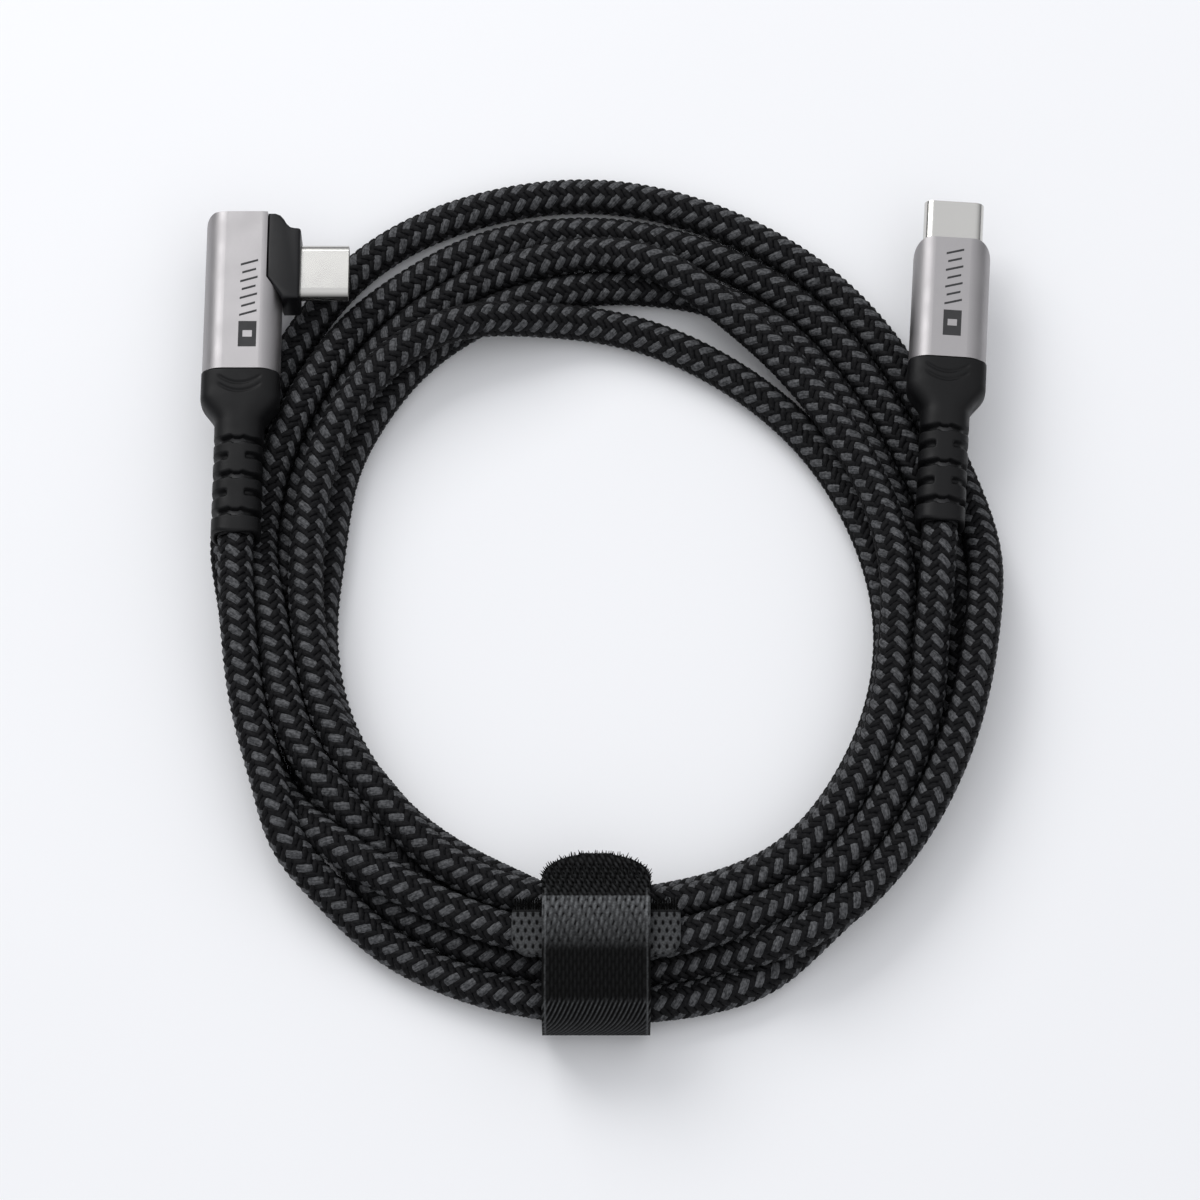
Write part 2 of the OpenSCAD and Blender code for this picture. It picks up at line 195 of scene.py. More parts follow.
# %% Sky
world = bpy.data.worlds.new("studio")
world.use_nodes = True
sky = world.node_tree
facing = add_node(sky, "ShaderNodeTexCoord")
parts = add_node(sky, "ShaderNodeSeparateXYZ")
rising = add_node(sky, "ShaderNodeMapRange")
rising.inputs["From Min"].default_value = 0.1
rising.inputs["From Max"].default_value = 0.95
rising.inputs["To Min"].default_value = 0.2
rising.inputs["To Max"].default_value = 0.98
background = sky.nodes["Background"]
background.inputs["Color"].default_value = (0.96, 0.97, 1.0, 1)
wire(sky, (facing, "Generated", parts, "Vector"), (parts, "Z", rising, "Value"),
     (rising, "Result", background, "Strength"))
bpy.context.scene.world = world
bpy.context.scene.view_settings.view_transform = "Standard"
print("sky strength, low and overhead:", 0.2, 0.98)

# %% [markdown]
# ## The cord's route
# The cord leaves the angle plug's boot, winds about five and a half times round, and
# ends in the straight plug's boot. Where it isn't coiled its points are the CAD model's
# own, so the cord meets both boots. Its thickness is measured on the CAD model's stub.

# %% The cord's size and its two free ends
stub_low, stub_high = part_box("angle_cord_stub")
cord_d = (stub_high.x - stub_low.x) / MM
cord_r = cord_d / 2
print("cord diameter, mm:", round(cord_d, 2))

from_angle_plug = [
    (-49.1, 9.8, 9), (-49, 5, 9), (-48.7, 0, 8.9), (-48.2, -5, 8.7), (-47.5, -10, 8.4),
    (-46.6, -15, 8.1), (-45.4, -20, 7.8),
]
from_straight_plug = [
    (46.8, 11.6, 9), (46.45, 6.6, 9), (46, 1.6, 8.9), (45.4, -3, 8.7), (44.6, -8, 8.5),
    (43.7, -12, 8.4),
]

# %% [markdown]
# ## The turns
# A spiral from a formula would look too neat: in a real coil each turn wanders, and
# some lie on others. So each turn is twelve places round the coil, one to each 30
# degrees. A place says how far the turn is from the middle and on which tier it lies: 0
# is on the floor and 1 is on the turns below. A turn is drawn half a millimetre wide,
# because it draws in by that much as it settles.

# %% The turns, place by place
coil_middle = (0.5, 2.5)
first_angle = 210
angle_step = 30
tier_height = 0.9 * cord_d
drawn_in = 0.5
turns = [
    [(51, 1.15), (56.8, 0.35), (55.6, 0), (54.7, 0), (51.7, 0), (49.8, 0), (48.6, 0), (54, 0),
     (57.3, 0), (54.4, 0), (48.7, 1), (44.6, 1)],
    [(45.8, 0.9), (46.8, 0.1), (46.9, 0), (50, 0), (46.7, 0), (44.9, 0), (43.7, 0), (49, 0),
     (49.6, 0), (47.3, 0), (42.3, 0), (39.1, 0)],
    [(40.3, 0), (41.6, 0), (42.6, 0), (45.3, 0), (42.1, 0), (40, 0), (38.4, 0), (39.2, 0),
     (43, 0), (46.6, 1), (44, 1.05), (39.6, 1)],
    [(41.3, 1), (44.1, 1), (45.3, 1), (47.1, 1.05), (43.1, 1.08), (40.6, 1.08), (41.2, 1),
     (45.3, 0.85), (52.8, 0.68), (50.3, 0.05), (46.5, 0), (44, 0)],
    [(46.2, 0), (51.5, 0), (51, 0), (54.9, 0.9), (52.6, 1.08), (51.2, 0.8), (53.2, 0.1),
     (59.2, 0), (63.4, 0), (62.6, 0), (54.9, 0), (49, 0.05)],
    [(50.7, 0.1), (49.6, 0.9), (50, 0.96), (51.6, 1.05), (47.6, 1.15)],
]

route = list(from_angle_plug)
places = [place for turn in turns for place in turn]
for step, (radius, tier) in enumerate(places):
    angle = math.radians(first_angle + step * angle_step)
    x = coil_middle[0] + (radius + drawn_in) * math.cos(angle)
    y = coil_middle[1] + (radius + drawn_in) * math.sin(angle)
    route.append((x, y, cord_r + tier * tier_height))
route += reversed(from_straight_plug)
print("points on the route:", len(route))

# %% [markdown]
# ## From points to a line
# A cord has no corners, so a smooth line goes through all the points. The Catmull-Rom
# rule was chosen because its line passes through every point, where most smooth curves
# only pass near them. New points are then set at an even spacing, because the steps
# that follow count lengths in points.


# %% A smooth line through the points
def smooth_line(points, spacing):
    """A Catmull-Rom line through all the points, with new points at an even spacing."""
    steps_per_span = 12
    p = np.array(points, float)
    p = np.vstack([2 * p[0] - p[1], p, 2 * p[-1] - p[-2]])
    t = np.linspace(0, 1, steps_per_span, endpoint=False)[:, None]
    spans = []
    for a, b, c, d in zip(p, p[1:], p[2:], p[3:]):
        bend = 2 * a - 5 * b + 4 * c - d + t * (3 * (b - c) + d - a)
        spans.append(b + t / 2 * (c - a + t * bend))
    line = np.vstack(spans + [p[-2:-1]])
    return evenly(line, spacing)


def evenly(line, spacing):
    """The same line with its points at an even spacing."""
    along = np.concatenate([[0], np.cumsum(np.linalg.norm(np.diff(line, axis=0), axis=1))])
    count = round(along[-1] / spacing) + 1
    return between(np.linspace(0, along[-1], count), along, line)


def between(at, along, rows):
    """Rows of X, Y and Z read off at any places between the known ones."""
    return np.stack([np.interp(at, along, rows[:, k]) for k in range(3)], axis=1)


def length_of(line):
    """The length of a line of points."""
    return float(np.linalg.norm(np.diff(line, axis=0), axis=1).sum())


# %% [markdown]
# ## Letting the turns settle
# The turns as listed run through each other a little. A real cord can't, so the line is
# left to settle: wherever two turns are nearer than one diameter they push each other
# apart, a stiff cord evens out its own bends, its weight pulls it down, and the floor
# and the strap hold it up and in. The ends stay where the boots hold them. A physics
# solver could do this too, but these few rules give the same line each time, and fast.

# %% What holds the turns
spacing = 2.0
held_points = 10
strap_width = 14.2
strap_margin = 0.5
strap_room_y = (-58.3 + cord_r, -38.7 - cord_r)
strap_room_z = (1.1 + cord_r, 10.5 - cord_r)
plugs = [(-49.1, 9.8, 0.0), (46.8, 11.6, 0.07)]
plug_half_width = 3.4
under_plug_z = 3.3
near_enough = 1.5 * cord_d
same_bend = 1.6 * cord_d
rounds_between_looks = 12
print("room in the strap, mm:", round(strap_room_y[1] - strap_room_y[0] + cord_d, 1))


def near_pairs(line, reach, skip):
    """Pairs of points nearer than reach that aren't neighbours along the cord."""
    gaps = np.linalg.norm(line[:, None] - line[None], axis=2)
    first, second = np.nonzero(np.triu(gaps < reach, skip))
    return first, second


def below_plugs(line):
    """Which points lie under a plug. A plug is a place in X and Y and how far it leans."""
    under = np.zeros(len(line), bool)
    for x, y, lean in plugs:
        beyond = line[:, 1] - y
        off_axis = np.abs(line[:, 0] - x - lean * beyond)
        under |= (beyond > -1) & (off_axis < plug_half_width + 0.6 * cord_r)
    return under


# %% Settle the turns
def settle(line, rounds=360, stiffness=0.35, memory=0.03, weight=0.02):
    """Moves the line's points a little in each round, until the turns lie side by side."""
    drawn = line.copy()
    skip = math.ceil(same_bend / spacing)
    under_strap = (np.abs(line[:, 0]) < strap_width / 2 + strap_margin) & (line[:, 1] < 0)
    under_plug = below_plugs(line)
    for turn in range(rounds):
        if turn % rounds_between_looks == 0:
            first, second = near_pairs(line, near_enough, skip)
        line[1:-1] += stiffness * ((line[:-2] + line[2:]) / 2 - line[1:-1])
        line += memory * (drawn - line) * (1, 1, 0.25)
        apart = line[first] - line[second]
        gap = np.linalg.norm(apart, axis=1)
        push = apart * (np.maximum(0, cord_d - gap) / np.maximum(gap, 1e-6))[:, None]
        touching = gap < cord_d
        shift = np.zeros_like(line)
        shared = np.zeros(len(line))
        np.add.at(shift, first, push)
        np.add.at(shift, second, -push)
        np.add.at(shared, first, touching)
        np.add.at(shared, second, touching)
        line += shift / 2 / np.maximum(1, shared)[:, None]
        line[:, 2] -= weight
        line[under_strap, 1] = np.clip(line[under_strap, 1], *strap_room_y)
        line[under_strap, 2] = np.clip(line[under_strap, 2], *strap_room_z)
        line[under_plug, 2] = np.minimum(line[under_plug, 2], under_plug_z)
        line[:, 2] = np.maximum(line[:, 2], cord_r)
        line[:held_points] = drawn[:held_points]
        line[-held_points:] = drawn[-held_points:]
    return line


middle_line = evenly(settle(smooth_line(route, spacing)), spacing)
cord_length = length_of(middle_line)
wound = np.unwrap(np.arctan2(*(middle_line[:, :2] - coil_middle).T[::-1]))
print("cord length between the boots, mm:", round(cord_length))
print("turns round the middle:", round(abs(wound[-1] - wound[0]) / (2 * math.pi), 2))

# %% [markdown]
# ## Frames along the cord
# The braid has to know which way is up at each point of the cord. Asking for the
# floor's up at every point would twist the braid wherever the cord climbs. So a frame
# is carried from point to point and turned only as much as the cord bends.

# %% Carry a frame along the line
def frames_along(line):
    """The direction and two side vectors at every point, carried along without twist."""
    ahead = np.gradient(line, axis=0)
    ahead /= np.linalg.norm(ahead, axis=1)[:, None]
    side = np.zeros_like(line)
    side[0] = np.cross(ahead[0], (0, 0, 1))
    side[0] /= np.linalg.norm(side[0])
    for i in range(1, len(line)):
        carried = side[i - 1] - ahead[i] * (side[i - 1] @ ahead[i])
        side[i] = carried / np.linalg.norm(carried)
    return ahead, side, np.cross(side, ahead)


def softened(line, passes=2):
    """Evens out the line's small kinks, and keeps its two ends."""
    for _ in range(passes):
        line[1:-1] = (line[:-2] + 2 * line[1:-1] + line[2:]) / 4
    return line


middle_line = softened(middle_line, 4)
ahead, side, up = frames_along(middle_line)
along = np.linspace(0, cord_length, len(middle_line))


def on_cord(distance_along, turn, radius):
    """Points at a distance along the cord, an angle round it and a radius from its middle."""
    middle, right, top = (between(distance_along, along, rows) for rows in (middle_line, side, up))
    return middle + radius[:, None] * (np.cos(turn)[:, None] * right + np.sin(turn)[:, None] * top)


# %% [markdown]
# ## The cord's bed
# Under the braid lies a plain black jacket, which shows only in the small gaps between
# the yarns. It is one tube along the settled line. A curve with a round bevel would give
# the same tube, but the yarns need rings of their own, so one helper makes both.

# %% Tube of rings
def loft(name, tubes):
    """One piece of closed tubes. A tube is an array: its rings, the points round each, X Y Z."""
    points = []
    faces = []
    first = 0
    for rings in tubes:
        count, round_count = rings.shape[:2]
        index = first + np.arange(count * round_count).reshape(count, round_count)
        beside = np.roll(index, -1, axis=1)
        walls = np.stack([index[:-1], beside[:-1], beside[1:], index[1:]], axis=2).reshape(-1, 4)
        points += rings.reshape(-1, 3).tolist()
        faces += walls.tolist() + [index[0][::-1].tolist(), index[-1].tolist()]
        first += count * round_count
    mesh = bpy.data.meshes.new(name)
    mesh.from_pydata(points, [], faces)
    shape = bmesh.new()
    shape.from_mesh(mesh)
    bmesh.ops.recalc_face_normals(shape, faces=shape.faces)
    shape.to_mesh(mesh)
    shape.free()
    return bpy.data.objects.new(name, mesh)


# %% The bed
bed_depth = 0.28
bed_radius = cord_r - bed_depth
bed_sides = 20
turn_round = np.linspace(0, 2 * math.pi, bed_sides, endpoint=False)
bed_rings = np.stack(
    [on_cord(along, np.full(len(along), a), np.full(len(along), bed_radius)) for a in turn_round], 1
)
bed = loft("cord_bed", [bed_rings * MM])

bed_finish, bed_tree, bed_shader = new_finish("cord_bed_black", Roughness=0.9,
                                              Specular_IOR_Level=0.05)
speckle = add_node(bed_tree, "ShaderNodeTexNoise", Scale=4000.0, Detail=2.0)
bed_mix = add_node(bed_tree, "ShaderNodeMix", data_type="RGBA")
bed_mix.inputs["A"].default_value = (0.001, 0.001, 0.001, 1)
bed_mix.inputs["B"].default_value = (0.003, 0.003, 0.004, 1)
wire(bed_tree, (speckle, "Fac", bed_mix, "Factor"), (bed_mix, "Result", bed_shader, "Base Color"))
show(bed, bed_finish, CABLE)
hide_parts("cord_coil", "cord_end_angle", "cord_end_straight")
print("bed radius, mm:", bed_radius, "sides:", bed_sides)

# %% [markdown]
# ## The braid
# A braiding machine carries ten yarns round the cord one way and ten the other, and
# each yarn passes over two and then under two. The over parts are the short slanted
# floats one sees. Every second yarn of one set is grey, and the rest are black. A bump
# in the jacket's finish would look flat at the cord's edge, so each yarn here is a thin
# closed ribbon that follows its own path over and under the others.

# %% Measures of the braid
yarns_each_way = 10
lead = 11.5
float_rise = 0.17
grey_width = 1.36
black_width = 0.98
yarn_thick = 0.42
grey_lift = 0.35
float_flatness = 2.2
yarn_section = [(-1, -0.5), (-0.7, 0.1), (0, 0.5), (0.7, 0.1), (1, -0.5)]
crossings = 2 * yarns_each_way
samples_per_crossing = 2
yarn_radius = cord_r - yarn_thick / 2 - float_rise
step_along = lead / crossings / samples_per_crossing
count_along = int(cord_length / step_along)
steepness = 2 * math.pi * yarn_radius / lead
slant = math.atan(steepness)
print("yarn's slant, degrees:", round(math.degrees(slant)), "steps along it:", count_along)

# %% [markdown]
# ## One yarn
# A yarn is a helix whose distance from the middle goes up and down, in step with the
# yarns that cross it. A plain cosine would give a hill at each crossing. Flattening it
# gives the long level floats of a real braid, with quick dips between them.


# %% Yarns
def yarn_rings(number, way):
    """Five points of the ribbon's section at every step along one yarn. way is 1 or -1."""
    s = np.linspace(0, cord_length, count_along)
    turn = way * 2 * math.pi * s / lead + 2 * math.pi * number / yarns_each_way
    crossing = turn * crossings / (2 * math.pi)
    wave = np.cos(2 * math.pi * (crossing - 0.5) / 4)
    grey = way > 0 and number % 2 == 0
    lift = grey_lift if grey else 0.0
    yarn_width = grey_width if grey else black_width
    level = np.tanh(float_flatness * (way * wave + lift)) / math.tanh(float_flatness)
    middle = yarn_radius + float_rise * level
    across_s = math.sin(slant) * yarn_width / 2
    across_turn = -way * math.cos(slant) * yarn_width / 2 / yarn_radius
    rings = [
        on_cord(s + k * across_s, turn + k * across_turn, middle + h * yarn_thick)
        for k, h in yarn_section
    ]
    return np.stack(rings, 1)


def braid_piece(name, members, finish):
    """Several yarns as one piece, with where each point lies along and across its yarn."""
    tubes = [yarn_rings(number, way) * MM for number, way in members]
    piece = loft(name, tubes)
    steps = tubes[0].shape[0]
    along_yarn = np.repeat(np.linspace(0, cord_length, steps), len(yarn_section))
    across_yarn = np.tile([k for k, h in yarn_section], steps)
    for layer, values in (("along", along_yarn), ("across", across_yarn)):
        attribute = piece.data.attributes.new(layer, "FLOAT", "POINT")
        attribute.data.foreach_set("value", np.tile(values, len(tubes)))
    print(name, "triangles:", sum(len(f.vertices) - 2 for f in piece.data.polygons))
    return show(piece, finish, CABLE)


# %% [markdown]
# ## The yarns' finish
# A yarn is a bundle of fine filaments, so it shows streaks along its length and a fuzz
# that has no direction. Black and grey yarns share this, so it is a node group, built
# once and placed in both materials with their own two shades. The streaks read where a
# point lies along and across its yarn, so they follow every bend of the cord.

# %% Filament group
filaments = bpy.data.node_groups.new("filaments", "ShaderNodeTree")
for name, kind in [("Along", "Float"), ("Across", "Float"), ("Dark", "Color"), ("Light", "Color")]:
    filaments.interface.new_socket(name, in_out="INPUT", socket_type="NodeSocket" + kind)
for name, kind in [("Colour", "Color"), ("Height", "Float")]:
    filaments.interface.new_socket(name, in_out="OUTPUT", socket_type="NodeSocket" + kind)
enter = add_node(filaments, "NodeGroupInput")
leave = add_node(filaments, "NodeGroupOutput")
spot = add_node(filaments, "ShaderNodeCombineXYZ")
stretch = add_node(filaments, "ShaderNodeMapping")
stretch.inputs["Scale"].default_value = (1.1, 4.5, 1.0)
streaks = add_node(filaments, "ShaderNodeTexNoise", Scale=1.0, Detail=3.0)
place = add_node(filaments, "ShaderNodeTexCoord")
fuzz = add_node(filaments, "ShaderNodeTexNoise", Scale=2500.0, Detail=2.0)
both = add_node(filaments, "ShaderNodeMath", operation="MULTIPLY")
spread = add_node(filaments, "ShaderNodeMapRange")
spread.inputs["From Min"].default_value = 0.14
spread.inputs["From Max"].default_value = 0.40
mix = add_node(filaments, "ShaderNodeMix", data_type="RGBA")
wire(filaments, (enter, "Along", spot, "X"), (enter, "Across", spot, "Y"),
     (spot, "Vector", stretch, "Vector"), (stretch, "Vector", streaks, "Vector"),
     (place, "Object", fuzz, "Vector"), (streaks, "Fac", both, 0), (fuzz, "Fac", both, 1),
     (both, 0, spread, "Value"), (spread, "Result", mix, "Factor"),
     (enter, "Dark", mix, "A"), (enter, "Light", mix, "B"),
     (mix, "Result", leave, "Colour"), (streaks, "Fac", leave, "Height"))
print("filament group nodes:", len(filaments.nodes))


# %% The two yarns' finishes
def yarn_finish(name, dark, light, sheen):
    """Twisted filaments between two shades, with fine relief."""
    finish, tree, shader = new_finish(name, Roughness=0.7, Specular_IOR_Level=sheen)
    along_it = add_node(tree, "ShaderNodeAttribute", attribute_name="along")
    across_it = add_node(tree, "ShaderNodeAttribute", attribute_name="across")
    group = add_node(tree, "ShaderNodeGroup", node_tree=filaments)
    group.inputs["Dark"].default_value = (*dark, 1)
    group.inputs["Light"].default_value = (*light, 1)
    bump = add_node(tree, "ShaderNodeBump", Strength=0.5, Distance=0.06 * MM)
    wire(tree, (along_it, "Fac", group, "Along"), (across_it, "Fac", group, "Across"),
         (group, "Colour", shader, "Base Color"), (group, "Height", bump, "Height"),
         (bump, "Normal", shader, "Normal"))
    return finish


black_yarn = yarn_finish("black_yarn", (0.002, 0.002, 0.0025), (0.012, 0.012, 0.013), 0.12)
grey_yarn = yarn_finish("grey_yarn", (0.022, 0.023, 0.025), (0.125, 0.127, 0.133), 0.15)
print("yarn finishes:", black_yarn.name, grey_yarn.name)

# %% [markdown]
# ## All twenty yarns
# The yarns go into a few pieces, two or three to each, so that no piece has too many
# faces. A number says which yarn it is, and 1 or -1 says which way round it runs.

# %% Braid the cord
yarn_sets = {
    "braid_grey_a": ([(0, 1), (2, 1), (4, 1)], grey_yarn),
    "braid_grey_b": ([(6, 1), (8, 1)], grey_yarn),
    "braid_black_a": ([(1, 1), (3, 1), (5, 1)], black_yarn),
    "braid_black_b": ([(7, 1), (9, 1)], black_yarn),
    "braid_black_c": ([(0, -1), (1, -1), (2, -1)], black_yarn),
    "braid_black_d": ([(3, -1), (4, -1), (5, -1)], black_yarn),
    "braid_black_e": ([(6, -1), (7, -1)], black_yarn),
    "braid_black_f": ([(8, -1), (9, -1)], black_yarn),
}
braid = [braid_piece(name, members, finish) for name, (members, finish) in yarn_sets.items()]

# %% [markdown]
# ## Grain for the finishes
# Moulded plastic and blasted metal both have a fine grain, and neither is evenly shiny.
# One node group gives it to all of them: a colour that drifts between two shades, a
# height for the bump, and a slow drift from 0 to 1 for the roughness.

# %% Grain group
grain_group = bpy.data.node_groups.new("grain", "ShaderNodeTree")
grain_inputs = [("Fine Scale", "Float"), ("Broad Scale", "Float"), ("Dark", "Color"), ("Light", "Color")]
for name, kind in grain_inputs:
    grain_group.interface.new_socket(name, in_out="INPUT", socket_type="NodeSocket" + kind)
for name, kind in [("Colour", "Color"), ("Height", "Float"), ("Roughness", "Float")]:
    grain_group.interface.new_socket(name, in_out="OUTPUT", socket_type="NodeSocket" + kind)
enter = add_node(grain_group, "NodeGroupInput")
leave = add_node(grain_group, "NodeGroupOutput")
place = add_node(grain_group, "ShaderNodeTexCoord")
fine = add_node(grain_group, "ShaderNodeTexNoise", Detail=3.0)
broad = add_node(grain_group, "ShaderNodeTexNoise", Detail=2.0)
shades = add_node(grain_group, "ShaderNodeMix", data_type="RGBA")
average = add_node(grain_group, "ShaderNodeMath", operation="MULTIPLY_ADD")
average.inputs[1].default_value = 0.5
halved = add_node(grain_group, "ShaderNodeMath", operation="MULTIPLY")
halved.inputs[1].default_value = 0.5
rough = add_node(grain_group, "ShaderNodeMapRange")
rough.inputs["From Min"].default_value = 0.3
rough.inputs["From Max"].default_value = 0.7
rough.inputs["To Min"].default_value = 0.0
rough.inputs["To Max"].default_value = 1.0
wire(grain_group, (place, "Object", fine, "Vector"), (place, "Object", broad, "Vector"),
     (enter, "Fine Scale", fine, "Scale"), (enter, "Broad Scale", broad, "Scale"),
     (broad, "Fac", halved, 0), (fine, "Fac", average, 0), (halved, 0, average, 2),
     (average, 0, shades, "Factor"), (enter, "Dark", shades, "A"), (enter, "Light", shades, "B"),
     (shades, "Result", leave, "Colour"), (fine, "Fac", leave, "Height"),
     (broad, "Fac", rough, "Value"), (rough, "Result", leave, "Roughness"))
print("grain group nodes:", len(grain_group.nodes))


# %% A finish with grain
def grained(name, dark, light, fine_scale, broad_scale, roughness, bump=0.1, **values):
    """A finish with the grain group: two shades, a range of roughness and a bump."""
    finish, tree, shader = new_finish(name, **values)
    group = add_node(tree, "ShaderNodeGroup", node_tree=grain_group)
    group.inputs["Fine Scale"].default_value = fine_scale
    group.inputs["Broad Scale"].default_value = broad_scale
    group.inputs["Dark"].default_value = (*dark, 1)
    group.inputs["Light"].default_value = (*light, 1)
    span = add_node(tree, "ShaderNodeMapRange")
    span.inputs["To Min"].default_value = roughness[0]
    span.inputs["To Max"].default_value = roughness[1]
    relief = add_node(tree, "ShaderNodeBump", Strength=bump, Distance=0.05 * MM)
    wire(tree, (group, "Colour", shader, "Base Color"), (group, "Roughness", span, "Value"),
         (span, "Result", shader, "Roughness"), (group, "Height", relief, "Height"),
         (relief, "Normal", shader, "Normal"))
    return finish


# %% [markdown]
# ## Finishes of the hard parts
# The housings are blasted and anodised aluminium, so they are satin. The shells are
# bright nickel over steel, with a faint drift in their polish. The boots are a soft
# black rubber-like plastic. What is inside a plug is rarely seen, but has its own
# finish too.

# %% Finishes of the hard parts
anodised = grained("anodised_housing", (0.335, 0.323, 0.328), (0.41, 0.397, 0.402), 9000, 260,
                   (0.42, 0.52), 0.15, Metallic=1.0)
nickel = grained("nickel_shell", (0.57, 0.56, 0.535), (0.62, 0.61, 0.585), 5000, 150,
                 (0.17, 0.21), 0.01, Metallic=1.0)
rubber = grained("boot_rubber", (0.003, 0.003, 0.0035), (0.008, 0.008, 0.0085), 5000, 400,
                 (0.40, 0.56), 0.25, Specular_IOR_Level=0.18)
black_plastic = grained("corner_plastic", (0.003, 0.003, 0.004), (0.008, 0.008, 0.009), 6000, 300,
                        (0.36, 0.48), 0.1, Specular_IOR_Level=0.25)
print("finishes outside:", anodised.name, nickel.name, rubber.name, black_plastic.name)

# %% [markdown]
# ## Finishes of the parts inside
# The hard parts keep their CAD shape, because that is already their real shape, and
# only need a finish. Both plugs hold the same parts, so the table goes by the end of a
# part's name: a finish, its dark and light shade, how metallic it is, and its roughness.

# %% Finishes of the parts inside, and all CAD parts finished
inner_finishes = {
    "insulator": ("insulator_plastic", (0.012, 0.012, 0.013), (0.03, 0.03, 0.032), 0.0, 0.45),
    "contacts": ("contact_plating", (0.75, 0.53, 0.22), (0.9, 0.66, 0.32), 1.0, 0.25),
    "latch_plate": ("spring_steel_latch", (0.5, 0.5, 0.49), (0.62, 0.62, 0.6), 1.0, 0.3),
    "ground_springs": ("spring_steel_fingers", (0.48, 0.48, 0.48), (0.6, 0.6, 0.59), 1.0, 0.35),
    "paddle_board": ("board_laminate", (0.01, 0.07, 0.03), (0.02, 0.12, 0.05), 0.0, 0.4),
    "emarker_chip": ("chip_epoxy", (0.01, 0.01, 0.01), (0.03, 0.03, 0.03), 0.0, 0.55),
    "board_parts": ("ceramic_parts", (0.30, 0.22, 0.14), (0.42, 0.32, 0.2), 0.0, 0.4),
    "conductors": ("wire_insulation", (0.35, 0.03, 0.03), (0.5, 0.06, 0.05), 0.0, 0.45),
    "crimp_ferrule": ("ferrule_brass", (0.62, 0.45, 0.2), (0.78, 0.58, 0.28), 1.0, 0.3),
    "cord_stub": ("inner_jacket", (0.008, 0.008, 0.009), (0.02, 0.02, 0.022), 0.0, 0.6),
    "inner_mould": ("mould_plastic", (0.5, 0.5, 0.47), (0.65, 0.65, 0.61), 0.0, 0.5),
}
shown_finishes = {"plug_shell": nickel, "housing": anodised}
for ending, (name, dark, light, metal, rough_value) in inner_finishes.items():
    shown_finishes[ending] = grained(name, dark, light, 4000, 500,
                                     (rough_value - 0.08, rough_value + 0.08), 0.08, Metallic=metal)
for node_name, node in nodes.items():
    for ending, finish in shown_finishes.items():
        if node_name.endswith(ending):
            node.data.materials.clear()
            node.data.materials.append(finish)
print("CAD parts:", len(nodes))

# %% [markdown]
# ## Boots
# A boot is moulded round the cord's end. It is broad where it meets the housing and
# narrows to a flexible stem. The stem is cut by wavy grooves that go all round, with
# short slots between them at its sides, so that it bends in a smooth curve. Cutting so
# many wavy grooves with booleans would leave rough edges. So each boot is grown ring by
# ring from its open end, and every point of a ring is set in by what the grooves take.

# %% Grow a tube ring by ring
def grow_tube(name, rings):
    """A closed form extruded from ring to ring. rings has X, Y, Z for each ring's points."""
    shape = bmesh.new()
    bmesh.ops.create_circle(shape, cap_ends=False, segments=rings.shape[1], radius=1.0)
    shape.verts.ensure_lookup_table()
    row = list(shape.verts)
    edge_row = list(shape.edges)
    bmesh.ops.holes_fill(shape, edges=edge_row)
    for vert, point in zip(row, rings[0]):
        vert.co = point
    for ring in rings[1:]:
        grown = bmesh.ops.extrude_edge_only(shape, edges=edge_row)["geom"]
        edge_row = [g for g in grown if isinstance(g, bmesh.types.BMEdge)]
        fresh = set(g for g in grown if isinstance(g, bmesh.types.BMVert))
        next_row = []
        for vert in row:
            beside = [edge.other_vert(vert) for edge in vert.link_edges]
            next_row.append(next(other for other in beside if other in fresh))
        row = next_row
        for vert, point in zip(row, ring):
            vert.co = point
        edge_row = [e for e in edge_row if e.verts[0] in fresh and e.verts[1] in fresh]
    bmesh.ops.holes_fill(shape, edges=edge_row)
    bmesh.ops.recalc_face_normals(shape, faces=shape.faces)
    return finished_mesh(name, shape)


# %% The boot's measures
boot_length = 24.4
stem_half = (3.4, 3.2)
collar_half = (5.45, 3.24)
collar_start = 20.6
stem_end = 16.6
groove_places = (2.95, 8.45, 13.75)
groove_depth, groove_half = 0.95, 0.42
slot_places = (5.7, 11.2)
slot_depth, slot_half = 0.80, 0.46
crease_places = (20.9, 22.1)
crease_depth, crease_half = 0.20, 0.22
cord_hole = 2.62
end_rounding = 0.45
boot_points = 168
print("boot, mm: length", boot_length, "stem", 2 * stem_half[0], "collar", 2 * collar_half[0])


# %% The boot's sections
def section(half_width, half_height, squareness):
    """Points evenly round a rounded rectangle, from the right side and anticlockwise."""
    t = np.linspace(0, 2 * math.pi, 1441)
    power = 2 / squareness
    x = half_width * np.sign(np.cos(t)) * np.abs(np.cos(t)) ** power
    z = half_height * np.sign(np.sin(t)) * np.abs(np.sin(t)) ** power
    walked = np.concatenate([[0], np.cumsum(np.hypot(np.diff(x), np.diff(z)))])
    at = np.linspace(0, walked[-1], boot_points, endpoint=False)
    return np.interp(at, walked, x), np.interp(at, walked, z)


def bell(distance_off, half_width):
    """1 in the middle, falling smoothly to 0."""
    return np.exp(-((distance_off / half_width) ** 4))


